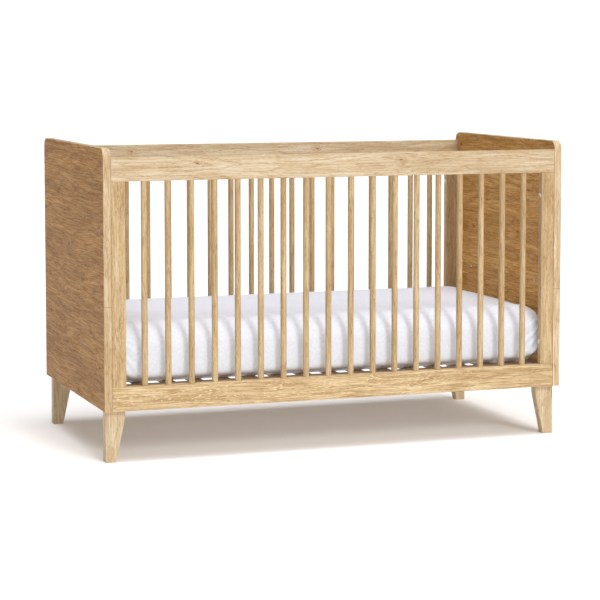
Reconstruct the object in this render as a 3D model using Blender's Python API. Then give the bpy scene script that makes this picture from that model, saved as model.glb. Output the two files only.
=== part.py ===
"""Baby crib of 140 x 70 cm mattress size, made as separate oak pieces. Metres, +Z up.

The origin is the centre of the footprint, on the floor. X runs along the crib, and the front is at -Y.
Two end panels stand on four tapered legs. A front and a rear side frame, each of two rails, two stiles and a
row of round spindles, join them. A slatted base rests on bearers between the panels and carries the mattress.
"""

import math

import bmesh
import bpy
from mathutils import Matrix, Vector

# Overall sizes
INNER_LENGTH = 1.400
DEPTH = 0.752
LEG_HEIGHT = 0.152
GAP = 0.0003
ARRIS = 0.0012

# End panels
PANEL_THICK = 0.023
PANEL_TOP = 0.910
PANEL_CORNER_RADIUS = 0.026
CORNER_STEPS = 8

# Side frames
FRAME_SET_BACK = 0.0015
FRAME_THICK = 0.022
TOP_RAIL_TOP = 0.884
RAIL_HEIGHT = 0.070
STILE_WIDTH = 0.042

# Spindles
SPINDLE_COUNT = 18
SPINDLE_PITCH = 0.0706
SPINDLE_RADIUS = 0.009
SPINDLE_SEAT_DEPTH = 0.012
SPINDLE_SIDES = 16

# Bolts and inserts that join the stiles to the panels
JOINT_BOLT_FROM_RAIL = 0.070
COUNTERBORE_RADIUS = 0.006
COUNTERBORE_DEPTH = 0.010
JOINT_BOLT_HOLE_RADIUS = 0.0035
INSERT_RADIUS = 0.0045
INSERT_DEPTH = 0.014
HOLE_SIDES = 12

# Legs
LEG_THICK = 0.030
LEG_TOP_WIDTH = 0.059
LEG_FOOT_WIDTH = 0.031
LEG_STRAIGHT = 0.013
LEG_EASE = 0.020
LEG_EASE_STEPS = 5
LEG_FROM_SIDE = 0.009
LEG_FROM_FRONT = 0.029

# Bearers and mattress base
BEARER_WIDTH = 0.050
BASE_TOP = 0.2206
BASE_HEIGHT = 0.030
BASE_END_CLEARANCE = 0.0045
BASE_SIDE_CLEARANCE = 0.002
BASE_END_RAIL_WIDTH = 0.041
RUNNER_WIDTH = 0.042
SLAT_COUNT = 15
SLAT_PITCH = 0.085
SLAT_WIDTH = 0.038
SLAT_THICK = 0.008
SLAT_TENON = 0.012

# Bolts that set the height of the base, and the step between its three heights
HEIGHT_STEP = 0.130
HEIGHT_LEVELS = 3
BASE_BOLT_Y = 0.240
BASE_BOLT_RADIUS = 0.003
BASE_BOLT_HOLE_RADIUS = 0.0035
BOLT_HEAD_RADIUS = 0.0075
BOLT_HEAD_HEIGHT = 0.0045
HEX_SOCKET_RADIUS = 0.0023
HEX_SOCKET_DEPTH = 0.003
BOLT_SIDES = 16

# Mattress
MATTRESS_LENGTH = 1.390
MATTRESS_WIDTH = 0.694
MATTRESS_TOP = 0.3935
MATTRESS_EDGE_RADIUS = 0.062
MATTRESS_EDGE_STEPS = 4

# Places that follow from the sizes
PANEL_INNER = INNER_LENGTH / 2
PANEL_OUTER = PANEL_INNER + PANEL_THICK
FRAME_FACE = DEPTH / 2 - FRAME_SET_BACK
FRAME_BACK = FRAME_FACE - FRAME_THICK
FRAME_MID = FRAME_FACE - FRAME_THICK / 2
BOTTOM_RAIL_TOP = LEG_HEIGHT + RAIL_HEIGHT
TOP_RAIL_BOTTOM = TOP_RAIL_TOP - RAIL_HEIGHT
STILE_INNER = PANEL_INNER - GAP - STILE_WIDTH
JOINT_BOLT_HEIGHTS = (BOTTOM_RAIL_TOP + JOINT_BOLT_FROM_RAIL, TOP_RAIL_BOTTOM - JOINT_BOLT_FROM_RAIL)
BASE_BOTTOM = BASE_TOP - BASE_HEIGHT
BASE_HALF_DEPTH = FRAME_BACK - BASE_SIDE_CLEARANCE
BASE_END_OUTER = PANEL_INNER - BASE_END_CLEARANCE
BASE_END_INNER = BASE_END_OUTER - BASE_END_RAIL_WIDTH
BASE_BOLT_HEIGHT = BASE_BOTTOM + BASE_HEIGHT / 2


def clear_scene():
    """Remove every object of the open scene."""
    for obj in list(bpy.data.objects):
        bpy.data.objects.remove(obj, do_unlink=True)


def make_material(name, color, roughness, metallic=0.0):
    """A Principled BSDF with one colour, roughness and metallic value."""
    material = bpy.data.materials.new(name)
    material.use_nodes = True
    shader = material.node_tree.nodes["Principled BSDF"]
    shader.inputs["Base Color"].default_value = (*color, 1.0)
    shader.inputs["Roughness"].default_value = roughness
    shader.inputs["Metallic"].default_value = metallic
    return material


def add_object(name, bm, material=None):
    """Put a bmesh into the scene as a named object."""
    bmesh.ops.recalc_face_normals(bm, faces=bm.faces)
    mesh = bpy.data.meshes.new(name)
    bm.to_mesh(mesh)
    bm.free()
    obj = bpy.data.objects.new(name, mesh)
    bpy.context.scene.collection.objects.link(obj)
    if material is not None:
        mesh.materials.append(material)
    return obj


def add_box(bm, low, high):
    """Add a closed box between two opposite corners."""
    size = [high[axis] - low[axis] for axis in range(3)]
    centre = Vector([(high[axis] + low[axis]) / 2 for axis in range(3)])
    bmesh.ops.create_cube(bm, size=1.0, matrix=Matrix.Translation(centre) @ Matrix.Diagonal((*size, 1.0)))


def add_rod(bm, centre, axis, radius, length, sides):
    """Add a closed round rod whose middle is at centre and whose length runs along axis."""
    turn = Vector((0, 0, 1)).rotation_difference(Vector(axis)).to_matrix().to_4x4()
    bmesh.ops.create_cone(
        bm,
        cap_ends=True,
        segments=sides,
        radius1=radius,
        radius2=radius,
        depth=length,
        matrix=Matrix.Translation(centre) @ turn,
    )


def extrude_outline(bm, outline, travel):
    """Add a solid made by pushing a closed flat outline along the travel vector."""
    face = bm.faces.new([bm.verts.new(point) for point in outline])
    moved = bmesh.ops.extrude_face_region(bm, geom=[face])["geom"]
    bmesh.ops.translate(bm, verts=[v for v in moved if isinstance(v, bmesh.types.BMVert)], vec=travel)


def ease_edges(obj, width=ARRIS, segments=1):
    """Take the sharp arris off every square edge."""
    bevel = obj.modifiers.new("arris", "BEVEL")
    bevel.width = width
    bevel.segments = segments
    bevel.limit_method = "ANGLE"
    bevel.angle_limit = math.radians(40)
    return bevel


def cut(obj, cutter, operation="DIFFERENCE"):
    """Cut a guide object out of obj, or join it on. The guide itself is left out of renders."""
    cutter.hide_render = True
    cutter.display_type = "WIRE"
    boolean = obj.modifiers.new(cutter.name, "BOOLEAN")
    boolean.object = cutter
    boolean.operation = operation
    boolean.solver = "EXACT"


def shade_round(obj):
    """Smooth shading with the end faces kept crisp."""
    obj.data.shade_smooth()
    obj.data.set_sharp_from_angle(angle=math.radians(40))


def arc(centre_a, centre_b, radius, start, end, steps):
    """Points (a, b) of an arc between two angles in degrees."""
    angles = [math.radians(start + (end - start) * k / steps) for k in range(steps + 1)]
    return [(centre_a + radius * math.cos(t), centre_b + radius * math.sin(t)) for t in angles]


def end_panel(name, side, material):
    """One end board with two rounded top corners and blind holes for its threaded inserts."""
    half = DEPTH / 2
    radius = PANEL_CORNER_RADIUS
    outline = [(-half, LEG_HEIGHT), (half, LEG_HEIGHT)]
    outline += arc(half - radius, PANEL_TOP - radius, radius, 0, 90, CORNER_STEPS)
    outline += arc(radius - half, PANEL_TOP - radius, radius, 90, 180, CORNER_STEPS)
    bm = bmesh.new()
    extrude_outline(bm, [(side * PANEL_INNER, y, z) for y, z in outline], (side * PANEL_THICK, 0, 0))
    panel = add_object(name, bm, material)
    ease_edges(panel)

    holes = bmesh.new()
    places = [(y, BASE_BOLT_HEIGHT + HEIGHT_STEP * level) for level in range(HEIGHT_LEVELS)
              for y in (-BASE_BOLT_Y, BASE_BOLT_Y)]
    places += [(y, z) for z in JOINT_BOLT_HEIGHTS for y in (-FRAME_MID, FRAME_MID)]
    for y, z in places:
        add_rod(holes, (side * PANEL_INNER, y, z), (1, 0, 0), INSERT_RADIUS, 2 * INSERT_DEPTH, HOLE_SIDES)
    cut(panel, add_object(name + "_insert_holes", holes))


def rail(name, face, bottom, seat_z, material):
    """A long rail between the panels, with a row of blind round seats for the spindle ends."""
    half = PANEL_INNER - GAP
    y_near, y_far = sorted((face * FRAME_FACE, face * FRAME_BACK))
    bm = bmesh.new()
    add_box(bm, (-half, y_near, bottom), (half, y_far, bottom + RAIL_HEIGHT))
    board = add_object(name, bm, material)
    ease_edges(board)

    seats = bmesh.new()
    radius = SPINDLE_RADIUS + GAP
    for index in range(SPINDLE_COUNT):
        centre = (spindle_x(index), face * FRAME_MID, seat_z)
        add_rod(seats, centre, (0, 0, 1), radius, 2 * (SPINDLE_SEAT_DEPTH + GAP), SPINDLE_SIDES)
    cut(board, add_object(name + "_seats", seats))


def stile(name, side, face, material):
    """An upright between the rails, bored from its inner edge for two bolts into the panel."""
    x_low, x_high = sorted((side * STILE_INNER, side * (PANEL_INNER - GAP)))
    y_near, y_far = sorted((face * FRAME_FACE, face * FRAME_BACK))
    bm = bmesh.new()
    add_box(bm, (x_low, y_near, BOTTOM_RAIL_TOP + GAP), (x_high, y_far, TOP_RAIL_BOTTOM - GAP))
    post = add_object(name, bm, material)
    ease_edges(post)

    bores = bmesh.new()
    middle = side * (STILE_INNER + STILE_WIDTH / 2)
    for z in JOINT_BOLT_HEIGHTS:
        add_rod(bores, (middle, face * FRAME_MID, z), (1, 0, 0), JOINT_BOLT_HOLE_RADIUS, 2 * STILE_WIDTH, HOLE_SIDES)
    cut(post, add_object(name + "_bores", bores))
    counterbores = bmesh.new()
    for z in JOINT_BOLT_HEIGHTS:
        centre = (side * STILE_INNER, face * FRAME_MID, z)
        add_rod(counterbores, centre, (1, 0, 0), COUNTERBORE_RADIUS, 2 * COUNTERBORE_DEPTH, HOLE_SIDES)
    cut(post, add_object(name + "_counterbores", counterbores))


def spindle_x(index):
    """Place of a spindle along the rail, with the row centred on the crib."""
    return (index - (SPINDLE_COUNT - 1) / 2) * SPINDLE_PITCH


def spindle(name, index, face, material):
    """One round dowel, its ends let into the two rails."""
    low = BOTTOM_RAIL_TOP - SPINDLE_SEAT_DEPTH
    high = TOP_RAIL_BOTTOM + SPINDLE_SEAT_DEPTH
    bm = bmesh.new()
    add_rod(bm, (0, 0, 0), (0, 0, 1), SPINDLE_RADIUS, high - low, SPINDLE_SIDES)
    rod = add_object(name, bm, material)
    rod.location = (spindle_x(index), face * FRAME_MID, (low + high) / 2)
    shade_round(rod)


def leg(name, side, face, material):
    """A board leg: upright on its outer edge, and tapered on its inner edge below a short straight."""
    outer = PANEL_OUTER - LEG_FROM_SIDE
    top = LEG_HEIGHT - GAP
    knee = top - LEG_STRAIGHT
    slope = (LEG_TOP_WIDTH - LEG_FOOT_WIDTH) / (knee - LEG_EASE / 2)
    outline = [(outer, 0.0), (outer, top), (outer - LEG_TOP_WIDTH, top)]
    for step in range(LEG_EASE_STEPS + 1):
        down = LEG_EASE * step / LEG_EASE_STEPS
        outline.append((outer - LEG_TOP_WIDTH + slope * down**2 / (2 * LEG_EASE), knee - down))
    outline.append((outer - LEG_FOOT_WIDTH, 0.0))
    front = face * (DEPTH / 2 - LEG_FROM_FRONT)
    bm = bmesh.new()
    extrude_outline(bm, [(side * x, front, z) for x, z in outline], (0, -face * LEG_THICK, 0))
    ease_edges(add_object(name, bm, material))


def bearer(name, side, material):
    """A cleat along the foot of an end panel: the legs are screwed to it, and the base rests on it."""
    x_low, x_high = sorted((side * (PANEL_INNER - GAP - BEARER_WIDTH), side * (PANEL_INNER - GAP)))
    half = FRAME_BACK - GAP
    bm = bmesh.new()
    add_box(bm, (x_low, -half, LEG_HEIGHT), (x_high, half, BASE_BOTTOM - GAP))
    ease_edges(add_object(name, bm, material))


def base_end_rail(name, side, material):
    """The end member of the mattress base, bored for its two height bolts."""
    x_low, x_high = sorted((side * BASE_END_INNER, side * BASE_END_OUTER))
    bm = bmesh.new()
    add_box(bm, (x_low, -BASE_HALF_DEPTH, BASE_BOTTOM), (x_high, BASE_HALF_DEPTH, BASE_TOP))
    member = add_object(name, bm, material)
    ease_edges(member)

    bores = bmesh.new()
    middle = side * (BASE_END_INNER + BASE_END_OUTER) / 2
    for y in (-BASE_BOLT_Y, BASE_BOLT_Y):
        centre = (middle, y, BASE_BOLT_HEIGHT)
        add_rod(bores, centre, (1, 0, 0), BASE_BOLT_HOLE_RADIUS, 2 * BASE_END_RAIL_WIDTH, BOLT_SIDES)
    cut(member, add_object(name + "_bores", bores))


def slat_deck(name, material):
    """The deck of the base: a front and a rear runner with the cross slats glued into them, flush on top."""
    half = BASE_END_INNER - GAP
    inner = BASE_HALF_DEPTH - RUNNER_WIDTH
    bm = bmesh.new()
    for low, high in ((-BASE_HALF_DEPTH, -inner), (inner, BASE_HALF_DEPTH)):
        add_box(bm, (-half, low, BASE_BOTTOM), (half, high, BASE_TOP))
    deck = add_object(name, bm, material)

    slats = bmesh.new()
    reach = inner + SLAT_TENON
    for index in range(SLAT_COUNT):
        x = (index - (SLAT_COUNT - 1) / 2) * SLAT_PITCH
        low = (x - SLAT_WIDTH / 2, -reach, BASE_TOP - SLAT_THICK)
        add_box(slats, low, (x + SLAT_WIDTH / 2, reach, BASE_TOP))
    cut(deck, add_object(name + "_slats", slats), "UNION")
    return deck


def base_bolt(name, side, y, material):
    """A button-head bolt through the base end rail, its head inside and its tip flush with the rail's end."""
    shank = BASE_END_RAIL_WIDTH + GAP
    profile = [(0, BOLT_HEAD_HEIGHT), (BOLT_HEAD_RADIUS * 0.55, BOLT_HEAD_HEIGHT)]
    profile += [(BOLT_HEAD_RADIUS * 0.85, BOLT_HEAD_HEIGHT * 0.72), (BOLT_HEAD_RADIUS, BOLT_HEAD_HEIGHT * 0.25)]
    profile += [(BOLT_HEAD_RADIUS, 0), (BASE_BOLT_RADIUS, 0), (BASE_BOLT_RADIUS, -shank), (0, -shank)]
    bm = bmesh.new()
    points = [bm.verts.new((r, 0, z)) for r, z in profile]
    edges = [bm.edges.new(pair) for pair in zip(points, points[1:])]
    bmesh.ops.spin(bm, geom=points + edges, cent=(0, 0, 0), axis=(0, 0, 1), angle=math.tau,
                   steps=BOLT_SIDES, use_merge=True)
    bmesh.ops.remove_doubles(bm, verts=bm.verts, dist=1e-6)
    bolt = add_object(name, bm, material)
    place = Matrix.Translation((side * (BASE_END_INNER - GAP), y, BASE_BOLT_HEIGHT))
    bolt.matrix_world = place @ Matrix.Rotation(-side * math.pi / 2, 4, "Y")
    shade_round(bolt)

    socket = bmesh.new()
    add_rod(socket, (0, 0, BOLT_HEAD_HEIGHT), (0, 0, 1), HEX_SOCKET_RADIUS, 2 * HEX_SOCKET_DEPTH, 6)
    key = add_object(name + "_socket", socket)
    key.matrix_world = bolt.matrix_world
    cut(bolt, key)


def mattress(name, material):
    """The mattress in its fitted sheet, as one plain block with generously rounded edges."""
    half_length = MATTRESS_LENGTH / 2
    half_width = MATTRESS_WIDTH / 2
    bm = bmesh.new()
    add_box(bm, (-half_length, -half_width, BASE_TOP + GAP), (half_length, half_width, MATTRESS_TOP))
    block = add_object(name, bm, material)
    ease_edges(block, MATTRESS_EDGE_RADIUS, MATTRESS_EDGE_STEPS)
    shade_round(block)


def build():
    """Make every piece of the crib."""
    clear_scene()
    veneer = make_material("oak_veneer_panel", (0.50, 0.31, 0.15), 0.48)
    oak = make_material("solid_oak_satin", (0.60, 0.41, 0.21), 0.45)
    oak_dowel = make_material("turned_oak_dowel", (0.62, 0.42, 0.22), 0.42)
    birch = make_material("birch_base_timber", (0.66, 0.50, 0.32), 0.60)
    zinc = make_material("zinc_plated_steel", (0.62, 0.63, 0.65), 0.30, 1.0)
    sheet = make_material("white_cotton_sheet", (0.80, 0.80, 0.82), 0.90)

    sides = (("left", -1), ("right", 1))
    faces = (("front", -1), ("rear", 1))
    for side_name, side in sides:
        end_panel("end_panel_" + side_name, side, veneer)
        bearer("bearer_" + side_name, side, birch)
        base_end_rail("base_end_rail_" + side_name, side, birch)
    for face_name, face in faces:
        rail(face_name + "_top_rail", face, TOP_RAIL_BOTTOM, TOP_RAIL_BOTTOM, oak)
        rail(face_name + "_bottom_rail", face, LEG_HEIGHT, BOTTOM_RAIL_TOP, oak)
        for index in range(SPINDLE_COUNT):
            spindle(f"{face_name}_spindle_{index + 1:02d}", index, face, oak_dowel)
        for side_name, side in sides:
            stile(f"{face_name}_stile_{side_name}", side, face, oak)
            leg(f"leg_{face_name}_{side_name}", side, face, oak)
            base_bolt(f"base_bolt_{face_name}_{side_name}", side, face * BASE_BOLT_Y, zinc)
    slat_deck("slat_deck", birch)
    mattress("mattress", sheet)


build()
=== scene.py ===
"""Looks of an oak baby crib: veneered end panels, spindle sides, slatted base and a sheeted mattress."""

import math

import bmesh
import bpy
import numpy as np
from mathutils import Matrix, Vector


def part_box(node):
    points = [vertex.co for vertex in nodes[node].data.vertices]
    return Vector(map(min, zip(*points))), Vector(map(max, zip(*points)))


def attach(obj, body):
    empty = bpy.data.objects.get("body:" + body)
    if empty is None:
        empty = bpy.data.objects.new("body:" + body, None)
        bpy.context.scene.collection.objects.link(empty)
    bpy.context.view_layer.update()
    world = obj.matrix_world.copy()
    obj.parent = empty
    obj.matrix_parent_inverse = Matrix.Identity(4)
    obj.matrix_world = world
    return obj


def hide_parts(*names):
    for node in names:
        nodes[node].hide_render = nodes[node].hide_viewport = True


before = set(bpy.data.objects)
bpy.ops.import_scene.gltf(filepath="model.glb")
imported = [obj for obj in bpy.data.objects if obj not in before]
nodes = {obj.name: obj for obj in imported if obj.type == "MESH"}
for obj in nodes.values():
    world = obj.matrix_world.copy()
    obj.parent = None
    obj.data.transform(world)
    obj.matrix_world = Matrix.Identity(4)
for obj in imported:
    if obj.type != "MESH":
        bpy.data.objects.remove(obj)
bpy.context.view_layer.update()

# ---------------------------------------------------------------------------------------------
# End panels. Each is a 23 mm particle board with flat-sawn oak veneer on both faces, the grain
# running from front to rear. A solid-oak band is glued round the front, top and rear edges, its
# grain following the edge, with one butt joint in the front and rear runs. Satin lacquer.
# ---------------------------------------------------------------------------------------------


def linear(hex_colour):
    """Turn an sRGB hex colour into linear red, green, blue and alpha."""
    srgb = np.array([int(hex_colour[k:k + 2], 16) for k in (1, 3, 5)]) / 255
    low, high = srgb / 12.92, ((srgb + 0.055) / 1.055) ** 2.4
    return (*np.where(srgb <= 0.04045, low, high).tolist(), 1.0)


def add_node(tree, kind, inputs=(), output=0, **settings):
    """Add one shader node, set its fields and sockets, link any socket given, and return one output.

    inputs is a row of values for the first sockets, or a dict of socket to value.
    """
    node = tree.nodes.new("ShaderNode" + kind)
    for field, value in settings.items():
        setattr(node, field, value)
    for socket, value in inputs.items() if isinstance(inputs, dict) else enumerate(inputs):
        if isinstance(value, bpy.types.NodeSocket):
            tree.links.new(value, node.inputs[socket])
        else:
            node.inputs[socket].default_value = value
    return node.outputs[output]


SMOOTH = {"interpolation_type": "SMOOTHSTEP"}
COLOURS = {"data_type": "RGBA"}
VECTORS = {"data_type": "VECTOR"}


def finished_material(name):
    """A new node material: its tree and its Principled shader."""
    material = bpy.data.materials.new(name)
    material.use_nodes = True
    return material, material.node_tree, material.node_tree.nodes["Principled BSDF"]


def fibre_space(tree, order):
    """Object coordinates in metres, put in the order given, so that the last one runs along the fibres."""
    place = add_node(tree, "TexCoord", (), "Object")
    apart = add_node(tree, "SeparateXYZ", (place,)).node
    return add_node(tree, "CombineXYZ", [apart.outputs[axis] for axis in order])


def knot_reach(tree, space, knots, across_mm, along_mm):
    """Distance to the nearest knot, 1 at its rim, for knots at points given in metres in the same space."""
    reach = (1000 / across_mm, 1000 / across_mm, 1000 / along_mm)
    here = add_node(tree, "VectorMath", (space, reach), operation="MULTIPLY")
    nearest = 1000.0
    for knot in knots:
        centre = tuple(np.multiply(knot, reach).tolist())
        away = add_node(tree, "VectorMath", (here, centre), 1, operation="DISTANCE")
        nearest = add_node(tree, "Math", (nearest, away), operation="MINIMUM")
    return nearest


def stretched_noise(tree, space, across_mm, along_mm, detail=2.0, output=0):
    """Noise whose features measure across_mm over the fibres and along_mm along them."""
    per_metre = (1000 / across_mm, 1000 / across_mm, 1000 / along_mm)
    scaled = add_node(tree, "VectorMath", (space, per_metre), operation="MULTIPLY")
    return add_node(tree, "TexNoise", {"Vector": scaled, "Scale": 1.0, "Detail": detail}, output)


RUSTY_TONE = "#A56A38"
KNOT_HEART_TONE = "#6A4326"


def oak_figure(tree, space, tones, ring_mm, rings, drift_mm, marks, eye, bow_mm, figured):
    """Colour and height of cut oak, from a space whose third axis follows the fibres.

    The fibres first drift sideways on a slow noise and bow round the knots, so every finer mark follows
    them. Growth rings are level lines of a smooth noise stretched along the fibres: each opens with a sharp
    darker line of large pores and fades to paler late wood. Fibres, pores and the short bright ray flecks
    are finer noises, stretched the same way. Real pores are 0.3 mm wide: they are drawn 1.5 mm wide, so
    that they show, and marks lengthens and widens all the fine marks on a broad face.
    """
    light, mid, dark, pore = tones
    drift = stretched_noise(tree, space, 170, 380, 1.0, 1)
    sway = (2 * drift_mm / 1000, 2 * drift_mm / 1000, 0.0)
    flow = add_node(tree, "VectorMath", (drift, sway), operation="MULTIPLY")
    flow = add_node(tree, "VectorMath", (space, flow), operation="ADD")
    if eye is not None:
        near = add_node(tree, "MapRange", (eye, 0.0, 4.5, 1.0, 0.0), **SMOOTH)
        core = add_node(tree, "MapRange", (eye, 0.25, 1.0, 1.0, 0.0), **SMOOTH)
        push = add_node(tree, "Math", (near, bow_mm / 1000), operation="MULTIPLY")
        bow = add_node(tree, "CombineXYZ", (push, push))
        flow = add_node(tree, "VectorMath", (flow, bow), operation="ADD")

    phase = stretched_noise(tree, flow, ring_mm, ring_mm * 9, 1.5)
    phase = add_node(tree, "Math", (phase, float(rings)), operation="MULTIPLY")
    ragged = stretched_noise(tree, flow, 5, 40)
    phase = add_node(tree, "Math", (ragged, 0.45, phase), operation="MULTIPLY_ADD")
    phase = add_node(tree, "Math", (phase,), operation="FRACT")
    opening = add_node(tree, "MapRange", (phase, 0.0, 0.10), **SMOOTH)
    fading = add_node(tree, "MapRange", (phase, 0.10, 0.60, 1.0, 0.0), **SMOOTH)
    early = add_node(tree, "Math", (opening, fading), operation="MULTIPLY")
    bands = stretched_noise(tree, flow, 20 * marks, 460 * marks, 2.0)
    bands = add_node(tree, "MapRange", (bands, 0.32, 0.68, 0.0, 0.42), **SMOOTH)
    fibres = stretched_noise(tree, flow, 3.0 * marks, 100 * marks, 4.0)
    fibres = add_node(tree, "MapRange", (fibres, 0.39, 0.61), **SMOOTH)
    dashes = stretched_noise(tree, flow, 1.5 * marks, 17 * marks, 2.0)
    dashes = add_node(tree, "MapRange", (dashes, 0.52, 0.65), **SMOOTH)
    pores = add_node(tree, "Math", (early, 0.55, 0.45), operation="MULTIPLY_ADD")
    pores = add_node(tree, "Math", (dashes, pores), operation="MULTIPLY")
    glints = stretched_noise(tree, flow, 2.4 * marks, 13 * marks, 1.0)
    glints = add_node(tree, "MapRange", (glints, 0.55, 0.68), **SMOOTH)
    clusters = stretched_noise(tree, flow, 45, 160, 1.0)
    clusters = add_node(tree, "MapRange", (clusters, 0.44, 0.62, 0.12 * figured, figured), **SMOOTH)
    flecks = add_node(tree, "Math", (glints, clusters), operation="MULTIPLY")

    colour = add_node(tree, "Mix", {0: fibres, 6: mid, 7: light}, 2, **COLOURS)
    colour = add_node(tree, "Mix", {0: bands, 6: colour, 7: dark}, 2, **COLOURS)
    amount = add_node(tree, "Math", (early, 0.30), operation="MULTIPLY")
    colour = add_node(tree, "Mix", {0: amount, 6: colour, 7: dark}, 2, **COLOURS)
    amount = add_node(tree, "Math", (pores, 0.55), operation="MULTIPLY")
    colour = add_node(tree, "Mix", {0: amount, 6: colour, 7: pore}, 2, **COLOURS)
    colour = add_node(tree, "Mix", {0: flecks, 6: colour, 7: light}, 2, **COLOURS)
    if eye is not None:
        rusty = add_node(tree, "Math", (dashes, 0.60, 0.12), operation="MULTIPLY_ADD")
        rusty = add_node(tree, "Math", (near, rusty), operation="MULTIPLY")
        colour = add_node(tree, "Mix", {0: rusty, 6: colour, 7: linear(RUSTY_TONE)}, 2, **COLOURS)
        core = add_node(tree, "Math", (core, 0.75), operation="MULTIPLY")
        colour = add_node(tree, "Mix", {0: core, 6: colour, 7: linear(KNOT_HEART_TONE)}, 2, **COLOURS)
    height = add_node(tree, "Math", (fibres, 0.3), operation="MULTIPLY")
    height = add_node(tree, "Math", (pores, -0.7, height), operation="MULTIPLY_ADD")
    return colour, height


def lacquer(tree, shader, colour, height, roughness, shine=0.22, bump_mm=0.25):
    """Matt lacquer over wood: a wide, weak highlight, and the grain just felt through it."""
    tree.links.new(colour, shader.inputs["Base Color"])
    rough = add_node(tree, "MapRange", (height, -0.7, 0.3, roughness + 0.10, roughness - 0.04), **SMOOTH)
    tree.links.new(rough, shader.inputs["Roughness"])
    bump = add_node(tree, "Bump", {"Height": height, "Strength": 0.55, "Distance": bump_mm / 1000})
    tree.links.new(bump, shader.inputs["Normal"])
    shader.inputs["IOR"].default_value = 1.5
    shader.inputs["Specular IOR Level"].default_value = shine


PANEL_INNER_FACE = -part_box("end_panel_left")[1].x
BAND_JOINT_HEIGHT = 0.455
BAND_JOINT_WIDTH = 0.0011
BAND_JOINT_TONE = "#6E5033"
WHORL_ALONG = 0.300
WHORL_ACROSS = 0.160
# The veneer tones are darker and warmer than the oak band's: painted shade, for the shade the broad faces
# lie in.
SHADE_DARKENED_VENEER_TONES = ("#C59759", "#A87534", "#7A501F", "#4C2E10")
BAND_TONES = ("#E3D0B2", "#CDB38C", "#A88559", "#7C5832")


def veneered_panel():
    """Veneer on the two broad faces and oak band on the edges, told apart by the way the surface faces."""
    material, tree, shader = finished_material("oak_veneer_with_solid_band")
    facing = add_node(tree, "TexCoord", (), "Normal")
    facing = add_node(tree, "VectorMath", (facing,), operation="ABSOLUTE")
    facing = add_node(tree, "SeparateXYZ", (facing,)).node
    band = add_node(tree, "Math", (facing.outputs[0], 0.9), operation="LESS_THAN")
    top = add_node(tree, "Math", (facing.outputs[2], 0.707), operation="GREATER_THAN")
    upright_run = fibre_space(tree, "XYZ")
    level_run = fibre_space(tree, "XZY")
    band_space = add_node(tree, "Mix", {0: top, 4: upright_run, 5: level_run}, 1, **VECTORS)
    space = add_node(tree, "Mix", {0: band, 4: level_run, 5: band_space}, 1, **VECTORS)
    # Broad faces take the darkened veneer tones (painted shade), the edges take the band's tones.
    tones = []
    for face, edge in zip(SHADE_DARKENED_VENEER_TONES, BAND_TONES):
        tones.append(add_node(tree, "Mix", {0: band, 6: linear(face), 7: linear(edge)}, 2, **COLOURS))

    place = add_node(tree, "SeparateXYZ", (upright_run,)).node
    own = add_node(tree, "Math", (place.outputs[0], 41.0), operation="MULTIPLY")
    along = add_node(tree, "Math", (place.outputs[1], 1 / WHORL_ALONG, own), operation="MULTIPLY_ADD")
    across = add_node(tree, "Math", (place.outputs[2], 1 / WHORL_ACROSS, own), operation="MULTIPLY_ADD")
    cell = add_node(tree, "CombineXYZ", (along, across))
    given = {"Vector": cell, "Scale": 1.0, "Randomness": 0.85}
    whorl = add_node(tree, "TexVoronoi", given, voronoi_dimensions="2D")
    eye = add_node(tree, "Math", (whorl, 22.0), operation="MULTIPLY")
    eye = add_node(tree, "Math", (band, 50.0, eye), operation="MULTIPLY_ADD")
    colour, height = oak_figure(tree, space, tones, 70, 10, 17, 1.25, eye, 9, 0.45)

    from_joint = add_node(tree, "Math", (place.outputs[2], BAND_JOINT_HEIGHT), operation="SUBTRACT")
    from_joint = add_node(tree, "Math", (from_joint,), operation="ABSOLUTE")
    span = (from_joint, BAND_JOINT_WIDTH * 0.4, BAND_JOINT_WIDTH, 1.0, 0.0)
    joint = add_node(tree, "MapRange", span, **SMOOTH)
    upright = add_node(tree, "Math", (band, top), operation="SUBTRACT")
    joint = add_node(tree, "Math", (joint, upright), operation="MULTIPLY")
    amount = add_node(tree, "Math", (joint, 0.55), operation="MULTIPLY")
    colour = add_node(tree, "Mix", {0: amount, 6: colour, 7: linear(BAND_JOINT_TONE)}, 2, **COLOURS)
    height = add_node(tree, "Math", (joint, -0.8, height), operation="MULTIPLY_ADD")
    lacquer(tree, shader, colour, height, 0.50, 0.10)
    return material


panel_finish = veneered_panel()
for side in ("left", "right"):
    nodes["end_panel_" + side].data.materials.clear()
    nodes["end_panel_" + side].data.materials.append(panel_finish)

# ---------------------------------------------------------------------------------------------
# Side frames. Solid oak rails run the full length between the panels, and stiles butt between
# them. Planed, arrises eased, satin lacquer. The grain runs along each member, with a few small
# tight knots in the top rails.
# ---------------------------------------------------------------------------------------------

KNOT_SPACING = 0.635
KNOT_FIRST = -0.443
KNOT_BELOW_TOP = 0.022
OAK_TONES = ("#D8C29C", "#C3A77B", "#A07C4E", "#76522C")
TOP_RAIL_LOW, TOP_RAIL_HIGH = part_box("front_top_rail")
PALE_OAK_TONES = ("#DDCFB4", "#CDB591", "#AB895C", "#805C37")
LIVELY_OAK_TONES = ("#E3CDA5", "#C1A477", "#9B774A", "#714D28")


def solid_oak(name, order, ring_mm=46, rings=7, drift_mm=9, knots=(), tones=OAK_TONES, figured=0.6):
    """Lacquered solid oak whose fibres run along the last axis of order."""
    material, tree, shader = finished_material(name)
    hues = [linear(tone) for tone in tones]
    space = fibre_space(tree, order)
    turned_knots = [[knot["XYZ".index(axis)] for axis in order] for knot in knots]
    eye = knot_reach(tree, space, turned_knots, 3.5, 8) if knots else None
    colour, height = oak_figure(tree, space, hues, ring_mm, rings, drift_mm, 1.0, eye, 6, figured)
    lacquer(tree, shader, colour, height, 0.50)
    return material


def finish_node(name, material):
    """Give a CAD node its finish."""
    nodes[name].data.materials.clear()
    nodes[name].data.materials.append(material)


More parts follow.
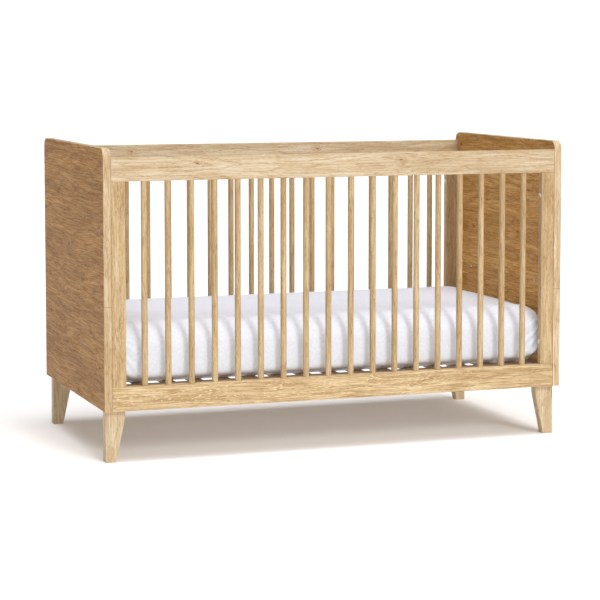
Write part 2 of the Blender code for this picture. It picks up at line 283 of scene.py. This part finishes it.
knot_height = TOP_RAIL_HIGH.z - KNOT_BELOW_TOP
rail_knots = [(KNOT_FIRST + k * KNOT_SPACING, TOP_RAIL_LOW.y, knot_height) for k in range(2)]
rail_knots += [(KNOT_FIRST + k * KNOT_SPACING, -TOP_RAIL_HIGH.y, knot_height) for k in range(2)]
rail_finish = solid_oak("lacquered_oak_rail", "YZX", 40, 7, 14, tones=LIVELY_OAK_TONES, figured=1.0)
top_rail_finish = solid_oak("lacquered_pale_oak_rail", "YZX", knots=rail_knots, tones=PALE_OAK_TONES)
stile_finish = solid_oak("lacquered_oak_stile", "XYZ")
for face in ("front", "rear"):
    finish_node(f"{face}_top_rail", top_rail_finish)
    finish_node(f"{face}_bottom_rail", rail_finish)
    for side in ("left", "right"):
        finish_node(f"{face}_stile_{side}", stile_finish)

# ---------------------------------------------------------------------------------------------
# Spindles. Thirty-six turned oak dowels of 18 mm, sanded round and lacquered, each glued into
# blind seats in the two rails. Every dowel comes from another stick, so its figure differs.
# ---------------------------------------------------------------------------------------------


def lathe_mesh(name, rings, material, closed_loop=False):
    """Skin rows of points that each run round once, capped at the first and last unless these join up."""
    rows, columns = rings.shape[:2]
    index = np.arange(rows * columns).reshape(rows, columns)
    below = index if closed_loop else index[:-1]
    above = np.roll(index, -1, 0) if closed_loop else index[1:]
    quads = np.stack([below, np.roll(below, -1, 1), np.roll(above, -1, 1), above], -1).reshape(-1, 4)
    caps = [] if closed_loop else [index[0, ::-1].tolist(), index[-1].tolist()]
    mesh = bpy.data.meshes.new(name)
    mesh.from_pydata(rings.reshape(-1, 3).tolist(), [], quads.tolist() + caps)
    shape = bmesh.new()
    shape.from_mesh(mesh)
    bmesh.ops.remove_doubles(shape, verts=shape.verts, dist=1e-6)
    bmesh.ops.recalc_face_normals(shape, faces=shape.faces)
    shape.to_mesh(mesh)
    shape.free()
    mesh.shade_smooth()
    mesh.set_sharp_from_angle(angle=math.radians(40))
    mesh.materials.append(material)
    piece = bpy.data.objects.new(name, mesh)
    bpy.context.scene.collection.objects.link(piece)
    return piece


def turned(profile, place, axis, sides=32, flats=0.0):
    """Turn (radius, height) rows about an axis through place: radius * (cos a, sin a) at each height.

    flats, one value for each row, bends a row's circle towards a hexagon, as in a key socket.
    """
    profile = np.asarray(profile, float)
    angle = np.linspace(0, 2 * np.pi, sides, endpoint=False)
    hexagon = np.cos(np.pi / 6) / np.cos((angle + np.pi / 6) % (np.pi / 3) - np.pi / 6)
    reach = profile[:, :1] * (1 + np.broadcast_to(flats, len(profile))[:, None] * (hexagon - 1))
    along = np.asarray(axis, float)
    across = np.cross(along, (0, 1, 0) if abs(along[1]) < 0.9 else (1, 0, 0))
    across /= np.linalg.norm(across)
    third = np.cross(along, across)
    rings = reach[..., None] * (np.cos(angle)[:, None] * across + np.sin(angle)[:, None] * third)
    return rings + np.asarray(place) + profile[:, 1, None, None] * along


DOWEL_EASE = 0.0008
dowel_finish = solid_oak("lacquered_oak_dowel", "XYZ", 26, 7, 5)
for face in ("front", "rear"):
    for number in range(1, 19):
        node = f"{face}_spindle_{number:02d}"
        low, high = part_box(node)
        radius, length = (high.x - low.x) / 2, high.z - low.z
        outline = [(0, 0), (radius - DOWEL_EASE, 0), (radius, DOWEL_EASE)]
        outline += [(radius, length - DOWEL_EASE), (radius - DOWEL_EASE, length), (0, length)]
        foot = ((low.x + high.x) / 2, (low.y + high.y) / 2, low.z)
        dowel = lathe_mesh("turned_" + node, turned(outline, foot, (0, 0, 1), 40), dowel_finish)
        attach(dowel, "frame")
        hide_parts(node)

# ---------------------------------------------------------------------------------------------
# Steel fixings. Bolts with a flat flanged head and a hexagon socket pass through the stiles and
# pull each side frame to the panels. Flanged inserts in the panels' inner faces take the base's bolts at
# three heights. All are zinc plated, faintly blue and slightly dull.
# ---------------------------------------------------------------------------------------------


def zinc_plate():
    """Bright zinc on steel: a fine mottle in tone and roughness, about 1.5 mm across."""
    material, tree, shader = finished_material("zinc_plated_steel")
    place = add_node(tree, "TexCoord", (), "Object")
    mottle = add_node(tree, "TexNoise", {"Vector": place, "Scale": 650.0, "Detail": 3.0})
    patch = add_node(tree, "MapRange", (mottle, 0.35, 0.65), **SMOOTH)
    tint = add_node(tree, "Mix", {0: patch, 6: linear("#DDE0E6"), 7: linear("#F4F5F7")}, 2, **COLOURS)
    tree.links.new(tint, shader.inputs["Base Color"])
    rough = add_node(tree, "MapRange", (mottle, 0.3, 0.7, 0.30, 0.46), **SMOOTH)
    tree.links.new(rough, shader.inputs["Roughness"])
    shader.inputs["Metallic"].default_value = 1.0
    return material


zinc = zinc_plate()
for end in ("front", "rear"):
    for side in ("left", "right"):
        finish_node(f"base_bolt_{end}_{side}", zinc)

STILE_LOW, STILE_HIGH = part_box("front_stile_right")
FIXING_FROM_RAIL = 0.070
BOLT_FLANGE_RADIUS = 0.0070
BOLT_FLANGE_HEIGHT = 0.0018
BOLT_NECK_RADIUS = 0.0046
BOLT_NECK_LENGTH = 0.008
BOLT_SHANK_RADIUS = 0.0029
BOLT_LENGTH = 0.030
BOLT_EASE = 0.0003
SOCKET_RADIUS = 0.0026
SOCKET_DEPTH = 0.0035
INSERT_RADIUS = 0.0043
INSERT_LENGTH = 0.0125
INSERT_BORE = 0.0031

stile_edge = STILE_LOW.x
stile_middle = (STILE_LOW.y + STILE_HIGH.y) / 2
fixing_heights = (STILE_LOW.z + FIXING_FROM_RAIL, STILE_HIGH.z - FIXING_FROM_RAIL)
head = [(0, SOCKET_DEPTH), (SOCKET_RADIUS, SOCKET_DEPTH)]
head += [(SOCKET_RADIUS, BOLT_EASE), (SOCKET_RADIUS + BOLT_EASE, 0)]
head += [(BOLT_FLANGE_RADIUS - 0.0007, 0), (BOLT_FLANGE_RADIUS, 2 * BOLT_EASE)]
head += [(BOLT_FLANGE_RADIUS, BOLT_FLANGE_HEIGHT - 0.0002)]
head += [(BOLT_NECK_RADIUS, BOLT_FLANGE_HEIGHT - 0.0002), (BOLT_NECK_RADIUS, BOLT_NECK_LENGTH)]
head += [(BOLT_SHANK_RADIUS, BOLT_NECK_LENGTH), (BOLT_SHANK_RADIUS, BOLT_LENGTH), (0, BOLT_LENGTH)]
key_flats = [1, 1, 1, 0.6] + [0] * 8
insert = [(INSERT_BORE, 0.0002), (INSERT_RADIUS, 0.0002)]
insert += [(INSERT_RADIUS, INSERT_LENGTH), (INSERT_BORE, INSERT_LENGTH)]

for side, out in (("left", -1), ("right", 1)):
    for end, depth in (("front", -1), ("rear", 1)):
        for level, height in zip(("lower", "upper"), fixing_heights):
            seat = (out * (stile_edge - BOLT_FLANGE_HEIGHT), depth * abs(stile_middle), height)
            name = f"stile_bolt_{end}_{side}_{level}"
            bolt = lathe_mesh(name, turned(head, seat, (out, 0, 0), 24, key_flats), zinc)
            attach(bolt, "frame")

BASE_BOLT_LOW, BASE_BOLT_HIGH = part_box("base_bolt_rear_right")
HEIGHT_STEP = 0.130
bolt_y = (BASE_BOLT_LOW.y + BASE_BOLT_HIGH.y) / 2
bolt_z = (BASE_BOLT_LOW.z + BASE_BOLT_HIGH.z) / 2
for side, out in (("left", -1), ("right", 1)):
    for end, depth in (("front", -1), ("rear", 1)):
        for level in range(3):
            mouth = (out * PANEL_INNER_FACE, depth * bolt_y, bolt_z + level * HEIGHT_STEP)
            name = f"height_insert_{end}_{side}_{level + 1}"
            sleeve = lathe_mesh(name, turned(insert, mouth, (out, 0, 0), 24), zinc, closed_loop=True)
            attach(sleeve, "frame")

# ---------------------------------------------------------------------------------------------
# Legs. Solid oak boards with upright grain, tapered on the inner edge below a short straight,
# arrises eased, same satin lacquer as the rails.
# ---------------------------------------------------------------------------------------------

leg_finish = solid_oak("lacquered_oak_leg", "XYZ", 40, 6, tones=PALE_OAK_TONES)
for end in ("front", "rear"):
    for side in ("left", "right"):
        finish_node(f"leg_{end}_{side}", leg_finish)

# ---------------------------------------------------------------------------------------------
# Mattress base. Fifteen birch slats, 38 x 8 mm with rounded edges, are glued flush into two
# birch runners, and end rails close the frame. Bearers at the foot of the panels carry it.
# Sanded and sealed, even and nearly matt; drawn dark greyish brown as painted shade under the mattress.
# ---------------------------------------------------------------------------------------------


def birch(name, order):
    """Sealed birch: close even grain, faint rings, no open pores."""
    material, tree, shader = finished_material(name)
    space = fibre_space(tree, order)
    stretch = add_node(tree, "VectorMath", (space, (14.0, 14.0, 1.2)), operation="MULTIPLY")
    figure = add_node(tree, "TexNoise", {"Vector": stretch, "Scale": 1.0, "Detail": 2.0, "Distortion": 0.4})
    figure = add_node(tree, "Math", (figure, 9.0), operation="MULTIPLY")
    rings = add_node(tree, "Math", (figure, 0.5), operation="PINGPONG")
    rings = add_node(tree, "MapRange", (rings, 0.30, 0.5, 0.0, 0.35), **SMOOTH)
    fibres = stretched_noise(tree, space, 2.4, 110, 3.0)
    streak = add_node(tree, "MapRange", (fibres, 0.3, 0.7), **SMOOTH)
    # The grey-brown tones are darkened as painted shade, for the mattress's shadow on the base.
    colour = add_node(tree, "Mix", {0: streak, 6: linear("#836C54"), 7: linear("#98826A")}, 2, **COLOURS)
    colour = add_node(tree, "Mix", {0: rings, 6: colour, 7: linear("#6E573F")}, 2, **COLOURS)
    tree.links.new(colour, shader.inputs["Base Color"])
    rough = add_node(tree, "MapRange", (fibres, 0.3, 0.7, 0.62, 0.52), **SMOOTH)
    tree.links.new(rough, shader.inputs["Roughness"])
    bump = add_node(tree, "Bump", {"Height": fibres, "Strength": 0.4, "Distance": 0.0002})
    tree.links.new(bump, shader.inputs["Normal"])
    return material


def eased_board(low, high, ease, along, steps=4):
    """A board with rounded arrises: a round-cornered section carried along one axis, drawn in at both ends.

    At angle t from 0 to 90 degrees the end rows lie ease * (1 - cos t) in from the end face, and the
    section there is smaller by ease * (1 - sin t) all round.
    """
    low, high = np.array(low, float), np.array(high, float)
    across = [axis for axis in range(3) if axis != along]
    half = (high - low)[across] / 2
    turn = np.linspace(0, np.pi / 2, steps + 1)
    inward = ease * (1 - np.sin(turn))
    start = low[along] + ease * (1 - np.cos(turn))
    stations = np.concatenate([start, (low[along] + high[along] - start)[::-1]])
    inward = np.concatenate([inward, inward[::-1]])[:, None]
    angle = (turn[None] + np.arange(4)[:, None] * np.pi / 2).ravel()[None]
    corner = np.repeat([(1, 1), (-1, 1), (-1, -1), (1, -1)], steps + 1, axis=0)
    rings = np.zeros((len(stations), angle.size, 3))
    for k, wave in enumerate((np.cos(angle), np.sin(angle))):
        centre = (low + high)[across[k]] / 2
        rings[..., across[k]] = centre + corner[:, k] * (half[k] - ease) + (ease - inward) * wave
    rings[..., along] = stations[:, None]
    return rings


SLAT_COUNT = 15
SLAT_PITCH = 0.085
SLAT_WIDTH = 0.038
SLAT_THICK = 0.008
RUNNER_WIDTH = 0.042
SLAT_EASE = 0.0022
RUNNER_EASE = 0.0016
GLUE_LINE = 0.0003

slat_finish = birch("sealed_birch_crosswise", "XZY")
runner_finish = birch("sealed_birch_lengthwise", "YZX")
for side in ("left", "right"):
    finish_node("bearer_" + side, slat_finish)
    finish_node("base_end_rail_" + side, slat_finish)

DECK_LOW, DECK_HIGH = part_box("slat_deck")
for end, near in (("front", DECK_LOW.y), ("rear", DECK_HIGH.y - RUNNER_WIDTH)):
    corner_low = (DECK_LOW.x, near, DECK_LOW.z)
    corner_high = (DECK_HIGH.x, near + RUNNER_WIDTH, DECK_HIGH.z)
    board = eased_board(corner_low, corner_high, RUNNER_EASE, 0)
    runner = lathe_mesh(f"base_runner_{end}", board, runner_finish)
    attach(runner, "mattress_base")
    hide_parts("slat_deck")

slat_reach = DECK_HIGH.y - RUNNER_WIDTH - GLUE_LINE
for number in range(SLAT_COUNT):
    middle = (number - (SLAT_COUNT - 1) / 2) * SLAT_PITCH
    corner_low = (middle - SLAT_WIDTH / 2, -slat_reach, DECK_HIGH.z - SLAT_THICK)
    corner_high = (middle + SLAT_WIDTH / 2, slat_reach, DECK_HIGH.z)
    board = eased_board(corner_low, corner_high, SLAT_EASE, 1)
    slat = lathe_mesh(f"base_slat_{number + 1:02d}", board, slat_finish)
    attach(slat, "mattress_base")
    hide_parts("slat_deck")

# ---------------------------------------------------------------------------------------------
# Mattress. A foam core in a white cotton fitted sheet. The sheet is drawn over the rounded edges
# and held underneath by an elastic hem, so it is smooth on top, pulls into slanting folds at the
# corners and is drawn up at their feet.
# ---------------------------------------------------------------------------------------------


def white_cotton():
    """Washed cotton percale: matt, very slightly blue, with a plain weave.

    Real threads are 0.25 mm apart. The weave is drawn at 1.6 mm so that it shows, and stays faint.
    """
    material, tree, shader = finished_material("white_cotton_percale")
    place = add_node(tree, "TexCoord", (), "Object")
    apart = add_node(tree, "SeparateXYZ", (place,)).node
    per_thread = 2 * math.pi / 0.0016
    warp = add_node(tree, "Math", (apart.outputs[0], per_thread), operation="MULTIPLY")
    warp = add_node(tree, "Math", (warp,), operation="SINE")
    weft = add_node(tree, "Math", (apart.outputs[1], apart.outputs[2]), operation="ADD")
    weft = add_node(tree, "Math", (weft, per_thread), operation="MULTIPLY")
    weft = add_node(tree, "Math", (weft,), operation="SINE")
    weave = add_node(tree, "Math", (warp, weft), operation="MULTIPLY")
    slub = add_node(tree, "TexNoise", {"Vector": place, "Scale": 120.0, "Detail": 4.0})
    soft = add_node(tree, "TexNoise", {"Vector": place, "Scale": 9.0, "Detail": 2.0})
    soft = add_node(tree, "MapRange", (soft, 0.3, 0.7, 0.0, 0.25), **SMOOTH)
    thick = add_node(tree, "MapRange", (slub, 0.35, 0.65), **SMOOTH)
    colour = add_node(tree, "Mix", {0: thick, 6: linear("#E2E8F3"), 7: linear("#EAEFFA")}, 2, **COLOURS)
    colour = add_node(tree, "Mix", {0: soft, 6: colour, 7: linear("#DEE3EE")}, 2, **COLOURS)
    tree.links.new(colour, shader.inputs["Base Color"])
    rough = add_node(tree, "MapRange", (slub, 0.3, 0.7, 0.82, 0.92), **SMOOTH)
    tree.links.new(rough, shader.inputs["Roughness"])
    height = add_node(tree, "Math", (weave, 0.25, slub), operation="MULTIPLY_ADD")
    bump = add_node(tree, "Bump", {"Height": height, "Strength": 0.12, "Distance": 0.0004})
    tree.links.new(bump, shader.inputs["Normal"])
    shader.inputs["Sheen Weight"].default_value = 0.15
    shader.inputs["Sheen Roughness"].default_value = 0.5
    shader.inputs["Specular IOR Level"].default_value = 0.25
    return material


BLOCK_LOW, BLOCK_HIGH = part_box("mattress")
TOP_EDGE = (0.026, 0.074)
TOP_EDGE_DROP = 0.072
FOOT_EDGE = (0.040, 0.082)
FOOT_EDGE_RISE = 0.020
PLAN_CORNER = 0.024
SHRUNK_START = 0.004
VOXEL = 0.010
MOST_MOVE = 0.009
CLOTH_FRAMES = 20


def pad_rings(low, high, top, drop, foot, rise, corner, steps=10, spread=14):
    """A block with rounded edges: rows of round-cornered rectangles from the top's middle to the bottom's.

    Round the top edge at angle t, a row is drawn in by top * (1 - sin t), given for the ends and the sides,
    and lies drop * (1 - cos t) below the top. The bottom edge does the same with foot and rise. The flat
    rows inside shrink evenly to the middle.
    """
    low, high = np.array(low), np.array(high)
    half = (high - low)[:2] / 2
    turn = np.linspace(0, np.pi / 2, steps + 1)
    share = np.linspace(0, 1, spread, endpoint=False)[:, None] ** 0.7
    halves = []
    for edges, depth in ((np.array(top), drop), (np.array(foot), rise)):
        flat = (half - 0.002) * (1 - share) + edges * share
        drawn_in = np.concatenate([flat, edges * (1 - np.sin(turn))[:, None]])
        halves.append((drawn_in, np.concatenate([np.zeros(spread), depth * (1 - np.cos(turn))])))
    inward = np.concatenate([halves[0][0], halves[1][0][::-1]])
    heights = np.concatenate([high[2] - halves[0][1], (low[2] + halves[1][1])[::-1]])
    angle = (np.linspace(0, np.pi / 2, 9)[None] + np.arange(4)[:, None] * np.pi / 2).ravel()
    signs = np.repeat([(1, 1), (-1, 1), (-1, -1), (1, -1)], 9, axis=0)
    radius = np.minimum(corner, (half - inward).min(axis=1))
    rings = np.zeros((len(inward), angle.size, 3))
    for k, wave in enumerate((np.cos(angle), np.sin(angle))):
        reach = (half[k] - inward[:, k] - radius)[:, None]
        rings[..., k] = (low + high)[k] / 2 + signs[:, k] * reach + radius[:, None] * wave
    rings[..., 2] = heights[:, None]
    return rings


def reworked(piece, kind, **settings):
    """Put one modifier on a piece, fix its result as the piece's own mesh, and keep the material."""
    modifier = piece.modifiers.new(kind.lower(), kind)
    for field, value in settings.items():
        setattr(modifier, field, value)
    changed = bpy.data.meshes.new_from_object(piece.evaluated_get(bpy.context.evaluated_depsgraph_get()))
    piece.modifiers.clear()
    material = piece.data.materials[0]
    piece.data = changed
    changed.materials.clear()
    changed.materials.append(material)


def points_of(mesh):
    """A mesh's points as an array of rows."""
    flat = np.empty(len(mesh.vertices) * 3, np.float32)
    mesh.vertices.foreach_get("co", flat)
    return flat.reshape(-1, 3).astype(float)


def settle_sheet(piece, slack, held, most):
    """Blow the sheet gently out against its own tension, with spare cloth where slack is high.

    The settled points are then fixed in the mesh, none of them moved further than most.
    """
    for name, weights in (("slack", slack), ("held", held)):
        group = piece.vertex_groups.new(name=name)
        for number, weight in enumerate(weights.tolist()):
            group.add([number], weight, "REPLACE")
    cloth = piece.modifiers.new("cloth", "CLOTH")
    cloth.settings.quality = 6
    cloth.settings.mass = 0.15
    cloth.settings.tension_stiffness = 25
    cloth.settings.compression_stiffness = 25
    cloth.settings.shear_stiffness = 8
    cloth.settings.bending_stiffness = 0.4
    cloth.settings.use_pressure = True
    cloth.settings.uniform_pressure_force = 4
    cloth.settings.vertex_group_shrink = "slack"
    cloth.settings.shrink_min = 0.0
    cloth.settings.shrink_max = -0.05
    cloth.settings.vertex_group_mass = "held"
    cloth.settings.effector_weights.gravity = 0
    cloth.point_cache.frame_end = CLOTH_FRAMES
    start = points_of(piece.data)
    scene = bpy.context.scene
    for step in range(1, CLOTH_FRAMES + 1):
        scene.frame_set(step)
    settled = points_of(piece.evaluated_get(bpy.context.evaluated_depsgraph_get()).data)
    piece.modifiers.clear()
    piece.vertex_groups.clear()
    scene.frame_set(1)
    move = settled - start
    length = np.linalg.norm(move, axis=1, keepdims=True)
    move *= np.minimum(1, most / np.maximum(length, 1e-9))
    piece.data.vertices.foreach_set("co", (start + move).ravel())
    piece.data.update()


FOLD_HEIGHT = 0.0065
CREASE_HEIGHT = 0.0004
FAN_BEHIND = 0.043
FOLD_SLOPES = (14, 23, 32, 38, 46, 55, 63)
FOLD_HALF_WIDTHS = (3.6, 2.8, 3.2, 2.6, 3.4, 3.0, 3.2)
FOLD_DEPTHS = (0.5, 0.7, 1.0, 0.6, 0.9, 0.8, 0.6)
FOLD_REACH = 0.105
HEM_MIDDLE = (0.095, 0.085)
HEM_RADIUS = 0.083
HEM_HALF_WIDTH = 0.0045
HEM_END = 0.085
GATHER_LIFT = 0.040
GATHER_REACH = 0.085


def corner_folds(points, low, high):
    """How far the sheet stands out, from 0 to 1: folds that fan out round each corner from its top.

    The fan's middle lies FAN_BEHIND outside the corner, level with the top. A fold is a bell curve of the
    angle below level, exp(-((angle - slope) / width) ** 2), and fades as it runs along the side. The hem's
    tuck is one more such curve, of the distance from a circle about HEM_MIDDLE, round the corner's foot.
    """
    half = (high - low)[:2] / 2
    middle = (high + low) / 2
    from_ends = half[0] - np.abs(points[:, 0] - middle[0])
    from_sides = half[1] - np.abs(points[:, 1] - middle[1])
    along = np.maximum(np.maximum(from_sides, from_ends), 0)
    side = np.clip(1.5 - np.minimum(from_sides, from_ends) / 0.03, 0, 1)
    own = 2.5 * np.sign(points[:, 0] * points[:, 1])
    angle = np.degrees(np.arctan2(high[2] + 0.004 - points[:, 2], along + FAN_BEHIND)) - own
    total = np.zeros(len(points))
    for slope, width, depth in zip(FOLD_SLOPES, FOLD_HALF_WIDTHS, FOLD_DEPTHS):
        total += depth * np.exp(-(((angle - slope) / width) ** 2))
    reach = np.clip(along / 0.022, 0, 1) * np.exp(-((along / FOLD_REACH) ** 4))
    rise = points[:, 2] - low[2]
    from_middle = np.hypot(along - HEM_MIDDLE[0], rise - HEM_MIDDLE[1])
    hem = np.exp(-(((from_middle - HEM_RADIUS) / HEM_HALF_WIDTH) ** 2))
    hem *= np.clip((HEM_END - along) / 0.03, 0, 1) * np.clip((0.06 - rise) / 0.02, 0, 1)
    return side * (total * reach + 0.7 * hem)


def gathered_foot(points, low, high):
    """How far the elastic hem lifts the foot of each corner.

    It is GATHER_LIFT * (1 - distance from the corner / GATHER_REACH) ** 1.5, and fades out upwards.
    """
    half = (high - low)[:2] / 2
    away = half - np.abs(points[:, :2] - (high + low)[:2] / 2)
    close = np.clip(1 - np.hypot(away[:, 0], away[:, 1]) / GATHER_REACH, 0, 1)
    return GATHER_LIFT * close ** 1.5 * np.clip(1 - (points[:, 2] - low[2]) / 0.08, 0, 1)


def slack_creases(points):
    """Faint slanting creases all over the sides: three crossing sines of uneven pitch, from -1 to 1."""
    run = points[:, 0] + points[:, 1]
    slant = run * 0.72 + points[:, 2]
    first = np.sin(slant * 2 * np.pi / 0.043 + 3 * np.sin(run * 5.1))
    second = np.sin(slant * 2 * np.pi / 0.027 + 4 * np.sin(run * 3.3 + points[:, 2] * 9))
    return first * second * (0.5 + 0.5 * np.sin(run * 11.0 + 1.3))


cotton = white_cotton()
block_low = np.array(BLOCK_LOW) + (SHRUNK_START, SHRUNK_START, 0.0)
block_high = np.array(BLOCK_HIGH) - (SHRUNK_START, SHRUNK_START, SHRUNK_START)
block = pad_rings(block_low, block_high, TOP_EDGE, TOP_EDGE_DROP, FOOT_EDGE, FOOT_EDGE_RISE, PLAN_CORNER)
pad = lathe_mesh("sheeted_mattress", block, cotton)
reworked(pad, "REMESH", mode="VOXEL", voxel_size=VOXEL)
rest = points_of(pad.data)
share = np.clip((rest[:, 2] - block_low[2]) / (block_high[2] - block_low[2]), 0, 1)
x_in = block_high[0] - np.abs(rest[:, 0])
y_in = block_high[1] - np.abs(rest[:, 1])
near_corner = np.exp(-np.hypot(x_in, y_in) / 0.12)
slack = np.clip(near_corner + 0.25 * (1 - share), 0, 1)
held = (share < 0.015).astype(float)
settle_sheet(pad, slack, held, MOST_MOVE)
reworked(pad, "SUBSURF", levels=1, render_levels=1)
placed = points_of(pad.data)
normals = np.empty(len(pad.data.vertices) * 3, np.float32)
pad.data.vertex_normals.foreach_get("vector", normals)
stand = FOLD_HEIGHT * corner_folds(placed, block_low, block_high) + CREASE_HEIGHT * slack_creases(placed)
facing = normals.reshape(-1, 3)
placed += facing * (stand * np.clip(1 - np.abs(facing[:, 2]) ** 2, 0, 1))[:, None]
placed[:, 2] += gathered_foot(placed, block_low, block_high)
pad.data.vertices.foreach_set("co", placed.ravel())
pad.data.update()
pad.data.shade_smooth()
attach(pad, "mattress")
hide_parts("mattress")

# ---------------------------------------------------------------------------------------------
# Studio. A white floor, a soft light from the front and a wide one overhead, a surround that glows
# from the front, weak fills, and a long lens that looks slightly down at the front and left end.
# ---------------------------------------------------------------------------------------------

CAMERA_PLACE = (-2.1874, -6.1462, 1.1906)
CAMERA_TURN_DEGREES = 19.63
CAMERA_DOWN_DEGREES = 4.89
CAMERA_LENS = 125.53
CAMERA_RISE = -0.12

floor_mesh = bpy.data.meshes.new("floor")
floor_mesh.from_pydata([(-40, -40, 0), (40, -40, 0), (40, 40, 0), (-40, 40, 0)], [], [(0, 1, 2, 3)])
floor = bpy.data.objects.new("floor", floor_mesh)
bpy.context.scene.collection.objects.link(floor)
floor_paint, _, floor_shader = finished_material("white_studio_floor")
floor_shader.inputs["Base Color"].default_value = linear("#FAFAFA")
floor_shader.inputs["Roughness"].default_value = 0.9
floor_shader.inputs["Specular IOR Level"].default_value = 0.1
floor_mesh.materials.append(floor_paint)


def broad_sun(name, turn, height, spread, strength, colour, shadow=True, only=None):
    """Even light from far off. turn is degrees to the right of the front, height degrees above the floor.

    With only, a collection, the light falls on nothing else.
    """
    light = bpy.data.lights.new(name, "SUN")
    light.angle = math.radians(spread)
    light.energy = strength
    light.color = linear(colour)[:3]
    light.use_shadow = shadow
    holder = bpy.data.objects.new(name, light)
    bpy.context.scene.collection.objects.link(holder)
    holder.rotation_euler = (math.radians(90 - height), 0, math.radians(turn))
    if only is not None:
        holder.light_linking.receiver_collection = only


sweep = bpy.data.collections.new("sweep")
sweep.objects.link(floor)
broad_sun("key", 13, 30, 18, 1.05, "#FFFDF8")
broad_sun("overhead", 0, 80, 50, 1.80, "#EEF4FF")
broad_sun("lift", 0, 90, 10, 0.60, "#FFEEDD", shadow=False)
broad_sun("sweep_wash", 0, 84, 20, 0.70, "#FFFFFF", only=sweep)
far_end = bpy.data.collections.new("far_end")
far_end.objects.link(nodes["end_panel_right"])
broad_sun("far_end_fill", -88, 8, 10, 1.50, "#D8E6FF", shadow=False, only=far_end)

FRONT_TURN = 14
FRONT_HEIGHT = 12
world = bpy.data.worlds.new("surround")
world.use_nodes = True
bpy.context.scene.world = world
air = world.node_tree
backdrop = air.nodes["Background"]
seen = add_node(air, "LightPath", (), "Is Camera Ray")
turn, height = math.radians(FRONT_TURN), math.radians(FRONT_HEIGHT)
front = (math.cos(height) * math.sin(turn), -math.cos(height) * math.cos(turn), math.sin(height))
way = add_node(air, "TexCoord", (), "Generated")
glow = add_node(air, "VectorMath", (way, front), 1, operation="DOT_PRODUCT")
glow = add_node(air, "Math", (glow, 0.0), operation="MAXIMUM")
glow = add_node(air, "Math", (glow, 2.0), operation="POWER")
glow = add_node(air, "Math", (glow, 0.62, 0.16), operation="MULTIPLY_ADD")
strength = add_node(air, "Mix", {0: seen, 2: glow, 3: 1.02})
tint = add_node(air, "Mix", {0: seen, 6: linear("#FFF6EA"), 7: linear("#FFFFFF")}, 2, **COLOURS)
air.links.new(tint, backdrop.inputs["Color"])
air.links.new(strength, backdrop.inputs["Strength"])

lens = bpy.data.cameras.new("camera")
lens.lens = CAMERA_LENS
lens.sensor_width = 36
lens.shift_y = CAMERA_RISE
camera = bpy.data.objects.new("camera", lens)
bpy.context.scene.collection.objects.link(camera)
camera.location = CAMERA_PLACE
camera.rotation_euler = (math.radians(90 - CAMERA_DOWN_DEGREES), 0, math.radians(-CAMERA_TURN_DEGREES))
bpy.context.scene.camera = camera
bpy.context.scene.view_settings.view_transform = "Standard"
